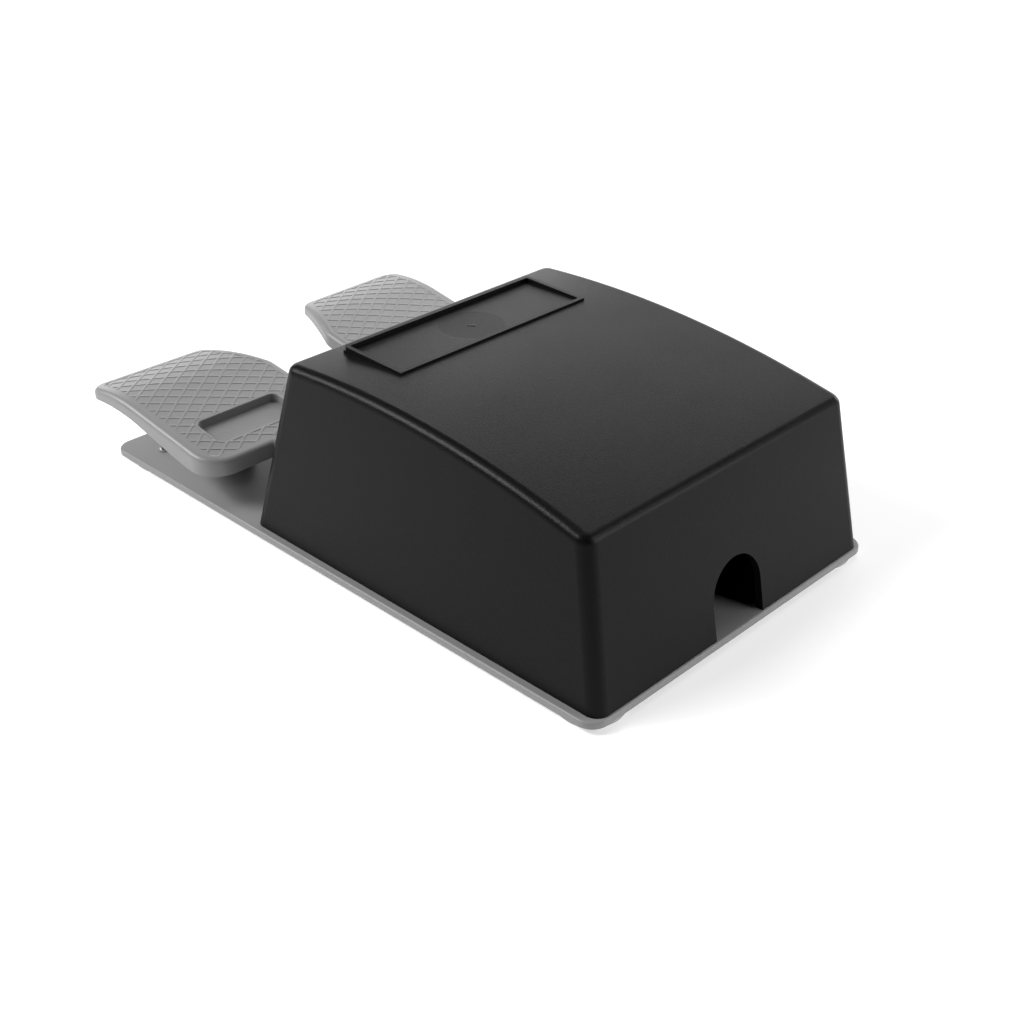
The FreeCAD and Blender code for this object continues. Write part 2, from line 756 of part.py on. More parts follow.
def field_prism(margin, z0, z1):
    """An upright prism on the sunk field's plan, grown by a margin."""
    return plan_prism(rectangle(field_inner_x - margin, field_outer_x + margin,
                                field_front_y - margin, field_rear_y + margin,
                                field_radius + margin), z0, z1)


def with_field_lip(body):
    """The pedal with the sunk field's upper edge rounded."""
    plan = rectangle(field_inner_x, field_outer_x, field_front_y, field_rear_y, field_radius)
    outline = rounded_wire([(Vec(x, y, 0), radius) for x, y, radius in plan])
    lip = []
    for edge in body.Edges:
        middle = edge.valueAt((edge.FirstParameter + edge.LastParameter) / 2)
        near = outline.distToShape(Part.Vertex(middle.x, middle.y, 0))[0] < 1e-4
        if near and abs(middle.z - pedal_top_z(middle.y)) < 0.01:
            lip.append(edge)
    return body.makeFillet(field_lip_radius, lip)


def tread_tool(outline):
    """The sunk diamonds between two families of thin ribs, as one cutting shape."""
    region = Part.Face(outline.makeOffset2D(-tread_margin)).extrude(Vec(0, 0, 2 * tool_reach))
    region = region.common(block(0, pedal_outer_x - tread_outer_margin, plate_front_y - tool_reach,
                                 pedal_rear_y, 0, 2 * tool_reach))
    region = region.cut(field_prism(tread_field_margin, 0, 2 * tool_reach))
    middle = Vec((pedal_inner_x + pedal_outer_x) / 2, tread_middle_y, 0)
    reach = 1.2 * max(pedal_outer_x - pedal_inner_x, pedal_rear_y - plate_front_y)
    steps = int(reach / 2 / tread_pitch) + 1
    ribs = []
    for turn in (tread_angle, -tread_angle):
        for step in range(-steps, steps + 1):
            y = middle.y + step * tread_pitch
            rib = block(middle.x - reach, middle.x + reach, y - tread_rib / 2, y + tread_rib / 2,
                        -1, 2 * tool_reach + 1)
            ribs.append(rib.rotated(middle, Vec(0, 0, 1), turn))
    return region.cut(ribs).cut(under_top(tread_depth))


def pedal_tail():
    """Hub, tail slab with its side ribs, spring peg and the finger for the switch lever."""
    low = plate_top + tail_height
    slab = block(arm_inner_x, arm_outer_x, pivot_y, tail_rear_y, low, tail_top)
    hub = rod_x(hub_diameter, arm_inner_x, arm_outer_x, pivot_y, pivot_z)
    pieces = [hub]
    for x in (arm_inner_x, arm_outer_x - pedal_wall):
        pieces.append(side_prism([(pivot_y, low - tail_rib_depth, 0), (tail_rear_y - 12.0, low, 0),
                                  (tail_rear_y - 12.0, low + 1.0, 0), (pivot_y, low + 1.0, 0)],
                                 x, x + pedal_wall))
    pieces.append(rod_z(spring_peg_diameter, tail_top, tail_top + spring_peg_height, spring_x, spring_y))
    finger = rod_x(finger_diameter, finger_tip_x, arm_inner_x + 1.0, finger_y, finger_z)
    root = block(ear_inner_x, arm_inner_x + 1.0, finger_y - finger_diameter / 2,
                 finger_y + finger_diameter / 2, low, finger_z)
    return slab.fuse(pieces + [finger, root.common(block(ear_inner_x, arm_outer_x, -tool_reach,
                                                         tool_reach, low, tail_top))])


def bump_boss():
    """The boss under the pad that lands flat on the bump stop at the end of the press."""
    boss = rod_z(bump_boss_diameter, plate_top, pedal_top_z(bump_y) - pedal_web / 2, bump_x, bump_y)
    below = block(bump_x - tool_reach, bump_x + tool_reach, bump_y - tool_reach, bump_y + tool_reach,
                  -tool_reach, bump_top + bump_gap)
    return boss.cut(about_pivot(below, -press_end_angle))


def level_pedal():
    """The pedal on the +X side, level."""
    outline = pedal_outline()
    roof = under_top(0)
    floor = over_skirt()
    form, shell = pedal_shell(outline, roof, floor)
    tub = field_prism(field_floor, 0, 2 * tool_reach).common(form)
    tub = tub.cut(under_top(field_depth + field_floor))
    body = shell.fuse(pedal_ribs(form) + [tub, pedal_tail(), bump_boss()])
    body = body.cut(field_prism(0, 0, 2 * tool_reach).cut(under_top(field_depth)))
    body = with_field_lip(body)
    body = body.cut(tread_tool(outline))
    bore = rod_x(shaft_diameter + 2 * running_gap + 2 * bush_wall + 2 * press_gap,
                 arm_inner_x - 1, arm_outer_x + 1, pivot_y, pivot_z)
    thread = rod_z(stop_screw_diameter + 2 * screw_gap, plate_top, tail_top + 1, stop_x, stop_y)
    return body.cut([bore, thread]).removeSplitter()


def level_bushes():
    """Two flanged bushes in the hub of the +X pedal."""
    inner = shaft_diameter + 2 * running_gap
    outer = inner + 2 * bush_wall
    reach = arm_width / 3
    result = []
    for face_x, way in ((arm_inner_x, 1), (arm_outer_x, -1)):
        sleeve = rod_x(outer, min(face_x, face_x + way * reach), max(face_x, face_x + way * reach),
                       pivot_y, pivot_z)
        edge_x = face_x - way * bush_flange_thickness
        flange = rod_x(bush_flange_diameter, min(face_x, edge_x), max(face_x, edge_x), pivot_y, pivot_z)
        bush = sleeve.fuse(flange).cut(rod_x(inner, arm_inner_x - 5, arm_outer_x + 5, pivot_y, pivot_z))
        result.append(bush.removeSplitter())
    return Part.makeCompound(result)


def stop_tip_z(angle):
    """Height, on the level pedal, of the stop screw's tip when it rests on its pad at an angle."""
    turn = math.radians(angle)
    rest_z = stop_pad_top + seat_gap
    rise = (stop_y - pivot_y) * math.sin(turn)
    return pivot_z + (rest_z - pivot_z - rise) / math.cos(turn)


def level_stop_screw(angle):
    """The round-ended screw through the +X tail, set for a rest angle."""
    tip = stop_tip_z(angle)
    radius = stop_screw_diameter / 2
    ball = Part.makeSphere(stop_tip_radius, Vec(stop_x, stop_y, tip + stop_tip_radius))
    shank = rod_z(stop_screw_diameter, tip, tip + stop_screw_length, stop_x, stop_y)
    below = rod_z(stop_screw_diameter, tip, tip + radius, stop_x, stop_y)
    slot = block(stop_x - radius, stop_x + radius, stop_y - 0.4, stop_y + 0.4,
                 tip + stop_screw_length - 1.0, tip + stop_screw_length)
    return shank.cut(below).fuse(below.common(ball)).cut(slot).removeSplitter()


def level_stop_nut():
    """The lock nut on the +X stop screw."""
    nut = hexagon_prism(stop_nut_width, stop_nut_height, Vec(stop_x, stop_y, tail_top), Vec(0, 0, 1))
    return nut.cut(rod_z(stop_screw_diameter + 2 * screw_gap, tail_top, tail_top + stop_nut_height,
                         stop_x, stop_y))


def pivot_shaft():
    """The steel shaft through both pedals, with a groove at each end."""
    shaft = rod_x(shaft_diameter, -shaft_half, shaft_half, pivot_y, pivot_z)
    grooves = []
    for side in (1, -1):
        x = side * (shaft_groove_x + clip_thickness / 2)
        half = clip_thickness / 2 + press_gap
        ring = rod_x(shaft_diameter + 1, x - half, x + half, pivot_y, pivot_z)
        grooves.append(ring.cut(rod_x(shaft_diameter - 2 * groove_depth, x - half, x + half,
                                      pivot_y, pivot_z)))
    return shaft.cut(grooves)


def shaft_clips():
    """Snap rings in the shaft's grooves, open towards the plate."""
    result = []
    for side in (1, -1):
        x = side * (shaft_groove_x + clip_thickness / 2)
        low = x - clip_thickness / 2
        high = x + clip_thickness / 2
        ring = rod_x(clip_diameter, low, high, pivot_y, pivot_z)
        ring = ring.cut(rod_x(shaft_diameter - 2 * groove_depth + 2 * press_gap, low, high,
                              pivot_y, pivot_z))
        mouth = block(low, high, pivot_y - clip_mouth / 2, pivot_y + clip_mouth / 2,
                      pivot_z - clip_diameter, pivot_z)
        result.append(ring.cut(mouth))
    return Part.makeCompound(result)


def pivot_bracket():
    """The folded sheet over the +X tail: flanges, ears and a bridge."""
    top = plate_top + bracket_height
    round_off = bracket_corner_radius
    ear = [(bracket_front_y, plate_top, 0), (bracket_front_y, pivot_z + 2.0, round_off),
           (bridge_front_y - 12.0, top, round_off), (bridge_rear_y, top, 0),
           (bridge_rear_y, top - bridge_skirt, round_off), (bridge_front_y, top - bridge_skirt - 3.0, round_off),
           (bracket_rear_y, pivot_z + 3.0, round_off), (bracket_rear_y, plate_top, 0)]
    inner = side_prism(ear, ear_inner_x - bracket_sheet, ear_inner_x)
    outer = side_prism(ear, ear_outer_x, ear_outer_x + bracket_sheet)
    bridge = block(ear_inner_x - bracket_sheet, ear_outer_x + bracket_sheet,
                   bridge_front_y, bridge_rear_y, bridge_bottom, top)
    pieces = [outer, bridge]
    for x0, x1, face_x in ((ear_inner_x - bracket_sheet - bracket_flange, ear_inner_x, -1),
                           (ear_outer_x, ear_outer_x + bracket_sheet + bracket_flange, 1)):
        outside = x1 if face_x > 0 else x0
        inside = x0 if face_x > 0 else x1
        corners = [(inside, bracket_front_y, 0), (outside, bracket_front_y, round_off),
                   (outside, bracket_rear_y, round_off), (inside, bracket_rear_y, 0)]
        pieces.append(plan_prism(corners, plate_top, plate_top + bracket_sheet))
    body = inner.fuse(pieces)
    holes = [rod_x(shaft_diameter + 2 * running_gap, ear_inner_x - 5, ear_outer_x + 5, pivot_y, pivot_z),
             rod_z(spring_stud_diameter + 2 * screw_gap, bridge_bottom - 1, top + 1, spring_x, spring_y)]
    for x in bracket_screw_xs:
        for y in bracket_screw_ys:
            holes.append(rod_z(bracket_screw_diameter + 2 * screw_gap, 0, top, x, y))
    return body.cut(holes).removeSplitter()


def bracket_screws():
    """Pan head screws through the pivot brackets' flanges into the plate."""
    seat = plate_top + bracket_sheet
    return Part.makeCompound([
        pan_screw(side * x, y, seat, plate_bottom, bracket_screw_diameter, pan_head_diameter, pan_head_height)
        for side in (1, -1) for x in bracket_screw_xs for y in bracket_screw_ys])


def spring_seat():
    """The upper seat of the +X spring, snapped into the bridge."""
    flange_low = bridge_bottom - spring_seat_flange
    top = bridge_bottom + bracket_sheet
    seat = rod_z(spring_seat_diameter, flange_low, bridge_bottom, spring_x, spring_y)
    peg = rod_z(spring_peg_diameter, flange_low - spring_peg_height, flange_low, spring_x, spring_y)
    stud = rod_z(spring_stud_diameter, bridge_bottom, top + 1.2, spring_x, spring_y)
    return seat.fuse([peg, stud]).removeSplitter()


def biarc(start, start_way, end, end_way):
    """Two arcs that join two points along given directions, as three-point edges."""
    span = end - start
    ways = start_way + end_way
    closing = 2 * (1 - start_way.dot(end_way))
    along = span.dot(ways)
    reach = (math.sqrt(along ** 2 + closing * span.dot(span)) - along) / closing
    meeting = (start + end + (start_way - end_way) * reach) * 0.5
    return [arc_from(start, start_way, meeting), arc_from(end, end_way * -1, meeting)]


def arc_from(start, way, end):
    """The arc that leaves a point along a direction and ends at another point."""
    chord = end - start
    half = way.getAngle(chord) / 2
    across = (way - chord * (way.dot(chord) / chord.dot(chord))).normalize()
    middle = (start + end) * 0.5 + across * (chord.Length / 2 * math.tan(half))
    return Part.Arc(start, middle, end).toShape()


def octagon(radius, centre, way):
    """An eight-sided wire section, square to a direction, as wide across its corners as the wire."""
    ring = [centre + Vec(radius * math.cos(math.radians(45 * k)), 0, radius * math.sin(math.radians(45 * k)))
            for k in range(8)]
    section = Part.makePolygon(ring + ring[:1])
    return section.rotated(centre, Vec(0, 1, 0).cross(way), math.degrees(Vec(0, 1, 0).getAngle(way)))


def coil(low_z, high_z):
    """A round wire wound between two levels, its end turns closer than the rest."""
    radius = (spring_diameter - spring_wire) / 2
    first = low_z + spring_wire / 2
    last = high_z - spring_wire / 2
    end_rise = 1.5 * spring_wire
    quarters = 4 * spring_turns
    open_rise = (last - first - 2 * end_rise) / (spring_turns - 2)

    def height(turn):
        if turn < 1:
            return first + end_rise * turn
        if turn > spring_turns - 1:
            return last - end_rise * (spring_turns - turn)
        return first + end_rise + open_rise * (turn - 1)

    def place(turn):
        angle = 2 * math.pi * turn
        return Vec(spring_x + radius * math.cos(angle), spring_y + radius * math.sin(angle), height(turn))

    def direction(turn):
        angle = 2 * math.pi * turn
        step = 0.01
        rise = (height(min(turn + step, spring_turns)) - height(max(turn - step, 0)))
        rise /= min(turn + step, spring_turns) - max(turn - step, 0)
        flat = 2 * math.pi * radius
        return Vec(-flat * math.sin(angle), flat * math.cos(angle), rise).normalize()

    edges = []
    for quarter in range(quarters):
        now = quarter / 4
        then = (quarter + 1) / 4
        edges.extend(biarc(place(now), direction(now), place(then), direction(then)))
    path = Part.Wire(Part.__sortEdges__(edges))
    section = octagon(spring_wire / 2, place(0), direction(0))
    least = min(open_rise, end_rise) - spring_wire
    return path.makePipeShell([section], True, False), least


def stop_pads():
    """Rubber discs on the plate under the stop screws."""
    return Part.makeCompound([rod_z(stop_pad_diameter, plate_top, stop_pad_top, side * stop_x, stop_y)
                              for side in (1, -1)])


def bump_stops():
    """Rubber buffers under the pads, each with a stem in the plate."""
    radius = bump_diameter / 2
    stem = bump_stem_diameter / 2
    chamfer = 0.8
    profile = [(0, plate_bottom), (stem, plate_bottom), (stem, plate_top), (radius, plate_top),
               (radius, bump_top - chamfer), (radius - chamfer, bump_top), (0, bump_top)]
    return Part.makeCompound([turned(profile, side * bump_x, bump_y) for side in (1, -1)])


def switch_bracket():
    """The upright between the switches, with tabs folded to alternate sides."""
    half = upright_thickness / 2
    y0 = switch_front_y + upright_margin
    y1 = switch_rear_y - upright_margin
    upright = side_prism([(y0, plate_top, 0), (y1, plate_top, 0), (y1, plate_top + upright_height, 3.0),
                          (y0, plate_top + upright_height, 3.0)], -half, half)
    tabs = []
    holes = []
    for side, y in tab_places:
        x = side * (half + tab_width)
        corners = [(0, y - tab_length / 2, 0), (x, y - tab_length / 2, 2.0),
                   (x, y + tab_length / 2, 2.0), (0, y + tab_length / 2, 0)]
        tabs.append(plan_prism(corners, plate_top, plate_top + tab_thickness))
        holes.append(rod_z(bracket_screw_diameter + 2 * screw_gap, 0, plate_top + tool_reach / 3,
                           side * (half + tab_width / 2), y))
    for y in switch_hole_ys:
        holes.append(rod_x(switch_screw_diameter + 2 * screw_gap, -half, half, y, switch_hole_z))
    return upright.fuse(tabs).cut(holes).removeSplitter()


def switch_bracket_screws():
    """Pan head screws through the tabs into the plate."""
    seat = plate_top + tab_thickness
    return Part.makeCompound([
        pan_screw(side * (switch_inner_x + tab_width / 2), y, seat, plate_bottom,
                  bracket_screw_diameter, pan_head_diameter, pan_head_height)
        for side, y in tab_places])


def switch_case():
    """The case of the +X switch: a block with barriers on top and ears for the lever below."""
    corners = [(switch_front_y, switch_bottom, switch_corner_radius),
               (switch_rear_y, switch_bottom, switch_corner_radius),
               (switch_rear_y, switch_deck, 0), (switch_front_y, switch_deck, 0)]
    body = side_prism(corners, switch_inner_x, switch_joint_x)
    pieces = []
    for number in range(4):
        y = switch_front_y + number * bay_length
        pieces.append(block(switch_inner_x, switch_joint_x, y, y + switch_barrier,
                            switch_deck - 1, switch_deck + switch_barrier_height))
    for way in (1, -1):
        near = lever_middle_x + way * (lever_width / 2 + ear_gap)
        far = near + way * ear_thickness
        ear = [(lever_pivot_y - 2.2, switch_bottom + 1, 0), (lever_pivot_y - 2.2, lever_pivot_z - 2.0, 1.2),
               (lever_pivot_y + 2.0, lever_pivot_z - 2.0, 1.2), (lever_pivot_y + 2.0, switch_bottom + 1, 0)]
        pieces.append(side_prism(ear, min(near, far), max(near, far)))
    body = body.fuse(pieces)
    holes = [rod_z(plunger_diameter + 2 * running_gap, switch_bottom - 1, switch_bottom + plunger_depth + 1,
                   lever_middle_x, switch_middle_y),
             rod_x(pin_diameter + 2 * press_gap, switch_inner_x, switch_joint_x, lever_pivot_y, lever_pivot_z)]
    for y in switch_hole_ys:
        holes.append(rod_x(switch_screw_diameter + 2 * screw_gap, switch_inner_x, switch_joint_x,
                           y, switch_hole_z))
    for y in bay_ys:
        holes.append(rod_z(terminal_screw_diameter + 2 * screw_gap, switch_deck - terminal_screw_depth,
                           switch_deck, lever_middle_x, y))
    return body.cut(holes).removeSplitter()


def switch_lid():
    """The lid that closes the case of the +X switch."""
    corners = [(switch_front_y + lid_inset, switch_bottom + lid_inset, switch_corner_radius),
               (switch_rear_y - lid_inset, switch_bottom + lid_inset, switch_corner_radius),
               (switch_rear_y - lid_inset, switch_deck - lid_inset, 0),
               (switch_front_y + lid_inset, switch_deck - lid_inset, 0)]
    lid = side_prism(corners, switch_joint_x, switch_outer_x)
    return lid.cut([rod_x(switch_screw_diameter + 2 * screw_gap, switch_joint_x, switch_outer_x,
                          y, switch_hole_z) for y in switch_hole_ys])


def lever_angle(pedal_angle):
    """Slope of the switch lever, in degrees from level, when the pedal stands at an angle."""
    y, z = point_about_pivot(finger_y, finger_z, pedal_angle)
    back = lever_pivot_y - y
    down = lever_pivot_z - z
    reach = math.hypot(back, down)
    clear = finger_diameter / 2 + lever_gap + lever_sheet / 2
    return math.degrees(math.atan2(down, back) - math.asin(clear / reach))


def switch_lever(pedal_angle):
    """The lever of the +X switch: a sheet strip from its pin barrel to past the finger."""
    length = lever_pivot_y - lever_tip_y
    x0 = lever_middle_x - lever_width / 2
    x1 = lever_middle_x + lever_width / 2
    strip = block(x0, x1, lever_pivot_y - length, lever_pivot_y,
                  lever_pivot_z - lever_sheet / 2, lever_pivot_z + lever_sheet / 2)
    barrel = rod_x(lever_barrel_diameter, x0, x1, lever_pivot_y, lever_pivot_z)
    hole = rod_x(pin_diameter + 2 * running_gap, x0, x1, lever_pivot_y, lever_pivot_z)
    lever = strip.fuse(barrel).cut(hole).removeSplitter()
    return lever.rotated(Vec(0, lever_pivot_y, lever_pivot_z), Vec(1, 0, 0), lever_angle(pedal_angle))


def plunger_low_z(pedal_angle):
    """Height of the plunger's lower end, on the lever."""
    slope = math.radians(lever_angle(pedal_angle))
    back = lever_pivot_y - switch_middle_y
    return lever_pivot_z - back * math.tan(slope) + lever_sheet / 2 / math.cos(slope) + seat_gap


def switch_plunger(pedal_angle):
    """The round-ended plunger of the +X switch."""
    low = plunger_low_z(pedal_angle)
    radius = plunger_diameter / 2
    high = switch_bottom + plunger_depth - 2.0
    nose = 0.6
    return turned([(0, low), (radius - nose, low), (radius, low + nose), (radius, high), (0, high)],
                  lever_middle_x, switch_middle_y)


def lever_pins():
    """The pins on which the levers turn, held in the cases' ears."""
    reach = lever_width / 2 + ear_gap + ear_thickness
    return Part.makeCompound([
        rod_x(pin_diameter, side * lever_middle_x - reach, side * lever_middle_x + reach,
              lever_pivot_y, lever_pivot_z) for side in (1, -1)])


def switch_terminals():
    """Contact plates in the bays on top of the +X switch."""
    result = []
    for y in bay_ys:
        plate = block(lever_middle_x - terminal_width / 2, lever_middle_x + terminal_width / 2,
                      y - terminal_length / 2, y + terminal_length / 2,
                      switch_deck, switch_deck + terminal_thickness)
        result.append(plate.cut(rod_z(terminal_screw_diameter + 2 * screw_gap, switch_deck,
                                      switch_deck + terminal_thickness, lever_middle_x, y)))
    return Part.makeCompound(result)


def terminal_screws():
    """The screws of all six terminals."""
    seat = switch_deck + terminal_thickness
    tip = switch_deck - terminal_screw_depth + 0.5
    return Part.makeCompound([
        pan_screw(side * lever_middle_x, y, seat, tip, terminal_screw_diameter,
                  terminal_head_diameter, terminal_head_height)
        for side in (1, -1) for y in bay_ys])


def switch_screws():
    """Two long screws through both switches and their bracket, head on the +X side."""
    result = []
    tail = switch_outer_x + switch_nut_height + 1.0
    for y in switch_hole_ys:
        shank = rod_x(switch_screw_diameter, -tail, switch_outer_x, y, switch_hole_z)
        head = rod_x(pan_head_diameter, switch_outer_x, switch_outer_x + pan_head_height, y, switch_hole_z)
        result.append(shank.fuse(head).removeSplitter())
    return Part.makeCompound(result)


def switch_nuts():
    """The nuts of the long screws."""
    result = []
    for y in switch_hole_ys:
        nut = hexagon_prism(switch_nut_width, switch_nut_height, Vec(-switch_outer_x, y, switch_hole_z),
                            Vec(-1, 0, 0))
        result.append(nut.cut(rod_x(switch_screw_diameter + 2 * screw_gap,
                                    -switch_outer_x - switch_nut_height, -switch_outer_x,
                                    y, switch_hole_z)))
    return Part.makeCompound(result)


def both_sides(shape):
    """A +X piece and its mirror image in one node."""
    return Part.makeCompound([shape, mirrored(shape)])


def sided(name, shape, side, pedal_angle=0.0):
    """A (node, shape) pair for one side, turned with its pedal."""
    placed = about_pivot(shape, pedal_angle) if pedal_angle else shape
    prefix = "right_" if side > 0 else "left_"
    return prefix + name, placed if side > 0 else mirrored(placed)


def all_nodes():
    """Every node's name and shape, before the origin is set."""
    nodes = {"base_plate": base_plate(), "feet": feet(), "foot_rivets": foot_rivets(),
             "cover": cover(), "cover_screws": cover_screws(), "pivot_shaft": pivot_shaft(),
             "shaft_clips": shaft_clips(), "bracket_screws": bracket_screws(),
             "spring_seats": both_sides(spring_seat()), "stop_pads": stop_pads(),
             "bump_stops": bump_stops(), "switch_bracket": switch_bracket(),
             "switch_bracket_screws": switch_bracket_screws(), "lever_pins": lever_pins(),
             "terminal_screws": terminal_screws(), "switch_screws": switch_screws(),
             "switch_nuts": switch_nuts()}
    pedal = level_pedal()
    bushes = level_bushes()
    nut = level_stop_nut()
    bracket = pivot_bracket()
    case = switch_case()
    lid = switch_lid()
    terminals = switch_terminals()
    for side, rest in ((1, right_rest_angle), (-1, left_rest_angle)):
        seat_y, seat_z = point_about_pivot(spring_y, tail_top, rest)
        spring, least = coil(seat_z + 3 * seat_gap, bridge_bottom - spring_seat_flange - seat_gap)
        print("least gap between the turns of a return spring:", round(least, 2), "mm")
        pairs = [sided("pedal", pedal, side, rest), sided("pedal_bushes", bushes, side, rest),
                 sided("stop_screw", level_stop_screw(rest), side, rest),
                 sided("stop_nut", nut, side, rest), sided("pivot_bracket", bracket, side),
                 sided("return_spring", spring, side), sided("switch_case", case, side),
                 sided("switch_lid", lid, side), sided("switch_lever", switch_lever(rest), side),
                 sided("switch_plunger", switch_plunger(rest), side),
                 sided("switch_terminals", terminals, side)]
        nodes.update(pairs)
    return nodes


def print_motion(shift):
    """The numbers that describe the joints, for each side."""
    print("origin shift along Y:", round(shift, 4))
    print("pedal hinge: y", round(pivot_y + shift, 4), "z", round(pivot_z, 4))
    print("lever hinge: y", round(lever_pivot_y + shift, 4), "z", round(lever_pivot_z, 4))
    print("spring fixed end z:", round(bridge_bottom - spring_seat_flange - seat_gap, 4))
    for name, rest in (("left", left_rest_angle), ("right", right_rest_angle)):
        travel = press_end_angle - rest
        lever = lever_angle(press_end_angle) - lever_angle(rest)
        lift = plunger_low_z(press_end_angle) - plunger_low_z(rest)
        print(name, "pedal range:", round(travel, 4), "deg; lever ratio:", round(lever / travel, 5),
              "; plunger mm per rad:", round(lift / math.radians(travel), 4), "lift", round(lift, 3))


def main():
    """Set the origin under the middle of the whole switch and write every node."""
    nodes = all_nodes()
    whole = Part.makeCompound([nodes["base_plate"], nodes["left_pedal"], nodes["right_pedal"]])
    bounds = whole.optimalBoundingBox(False, False)
    shift = -(bounds.YMin + bounds.YMax) / 2
    for name, shape in nodes.items():
        shape.translate(Vec(0, shift, 0))
        shape.exportStep("parts/" + name + ".step")
        print(name, "solids", len(shape.Solids), "volume", round(shape.Volume, 1), "valid", shape.isValid())
    print_motion(shift)


main()
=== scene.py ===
"""A two-pedal foot switch in a plain studio.

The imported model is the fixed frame. Every length is in metres, +Z is up, the pedals point
towards -Y and the cable arch looks towards +Y.
"""
import math

import bpy
import numpy as np
from mathutils import Matrix, Vector


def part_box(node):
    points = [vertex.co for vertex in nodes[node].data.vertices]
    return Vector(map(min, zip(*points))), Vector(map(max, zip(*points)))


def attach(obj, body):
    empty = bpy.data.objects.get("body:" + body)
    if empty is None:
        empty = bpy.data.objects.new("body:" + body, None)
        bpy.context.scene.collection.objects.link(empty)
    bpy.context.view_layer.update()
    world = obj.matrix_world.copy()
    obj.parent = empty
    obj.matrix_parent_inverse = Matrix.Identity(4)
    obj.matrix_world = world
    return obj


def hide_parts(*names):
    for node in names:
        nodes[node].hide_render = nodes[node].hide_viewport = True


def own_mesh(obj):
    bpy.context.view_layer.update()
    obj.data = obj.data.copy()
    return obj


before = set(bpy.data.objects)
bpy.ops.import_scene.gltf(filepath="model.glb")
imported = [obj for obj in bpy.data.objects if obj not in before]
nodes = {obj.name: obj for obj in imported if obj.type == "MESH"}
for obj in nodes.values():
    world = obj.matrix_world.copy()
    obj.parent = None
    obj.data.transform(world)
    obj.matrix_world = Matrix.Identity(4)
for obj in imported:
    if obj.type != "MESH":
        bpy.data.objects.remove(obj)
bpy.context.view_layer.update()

MILLI = 0.001


# Plain arithmetic on the sockets of a material
class Value:
    """One number that varies over a surface, on which + - and * add Math nodes."""

    def __init__(self, tree, socket):
        self.tree = tree
        self.socket = socket

    def maths(self, operation, first, second):
        """The Value of one Math node on two numbers or Values."""
        return self.tree.node("Math", {"operation": operation}, {0: first, 1: second})

    def __add__(self, other):
        return self.maths("ADD", self, other)

    def __radd__(self, other):
        return self.maths("ADD", other, self)

    def __sub__(self, other):
        return self.maths("SUBTRACT", self, other)

    def __rsub__(self, other):
        return self.maths("SUBTRACT", other, self)

    def __mul__(self, other):
        return self.maths("MULTIPLY", self, other)

    def root(self):
        """The square root."""
        return self.maths("SQRT", self, 0.0)

    def size(self):
        """The number without its sign."""
        return self.maths("ABSOLUTE", self, 0.0)

    def sign(self):
        """1 above zero and -1 below it."""
        return self.maths("SIGN", self, 0.0)

    def most(self, other):
        """The greater of two numbers."""
        return self.maths("MAXIMUM", self, other)

    def beside(self, pitch):
        """Distance to the nearest whole multiple of a pitch."""
        return self.maths("PINGPONG", self, pitch / 2)

    def band(self, low, high):
        """0 below low, 1 above high, and a soft rise between them."""
        return self.tree.node("MapRange", {"interpolation_type": "SMOOTHSTEP"},
                              {"Value": self, "From Min": low, "From Max": high})


class Finish:
    """A material under way: its node tree, its shader and what the two need."""

    def __init__(self, name, **constants):
        """Constants are numbers or colours that hold all over the surface, by socket name."""
        self.material = bpy.data.materials.new(name)
        self.material.use_nodes = True
        self.nodes = self.material.node_tree.nodes
        self.links = self.material.node_tree.links
        self.shader = self.nodes["Principled BSDF"]
        for socket, value in constants.items():
            self.shader.inputs[socket.replace("_", " ")].default_value = value
        self.place = self.node("TexCoord", output="Object")

    def node(self, kind, settings=(), sockets=(), output=0):
        """A node of a type, its settings first and then its sockets, as the Value of one output."""
        made = self.nodes.new("ShaderNode" + kind)
        for key, value in dict(settings).items():
            setattr(made, key, value)
        for key, value in dict(sockets).items():
            if isinstance(value, Value):
                self.links.new(value.socket, made.inputs[key])
            else:
                made.inputs[key].default_value = value
        return Value(self, made.outputs[output])

    def noise(self, grain, detail=2.0, roughness=0.5):
        """Noise from 0 to 1 whose grains are about as large as a length in metres."""
        return self.node("TexNoise", {}, {"Vector": self.place, "Scale": 1 / grain,
                                          "Detail": detail, "Roughness": roughness}, "Fac")

    def mix(self, amount, first, second):
        """A colour between two colours."""
        return self.node("Mix", {"data_type": "RGBA"},
                         {"Factor": amount, 6: first, 7: second}, 2)

    def bump(self, height, depth):
        """A surface normal from a height that is counted in steps of a depth in metres."""
        return self.node("Bump", {}, {"Height": height, "Distance": depth, "Strength": 1.0})

    def along(self, axis):
        """One coordinate of the place on the surface, "X", "Y" or "Z"."""
        return self.node("SeparateXYZ", {}, {"Vector": self.place}, axis)

    def reach(self, x, y):
        """Distance in plan from an upright line through a point."""
        dx = self.along("X") - x
        dy = self.along("Y") - y
        return (dx * dx + dy * dy).root()

    def feed(self, socket, value):
        """Links a Value to the shader."""
        self.links.new(value.socket, self.shader.inputs[socket])


def grey(value, warmth=0.0):
    """A colour of a linear grey value, a little warmer or cooler."""
    return (value * (1 + warmth), value, value * (1 - warmth), 1)


def scaled(colour, factor):
    """A colour made darker or lighter."""
    return tuple(part * factor for part in colour[:3]) + (1,)


# How far a mould's sand grain swings the roughness, and how dark and how dull its round traces are
SAND_GLOSS = 0.04
MARK_SHADE = 0.3
MARK_DULLING = 0.05


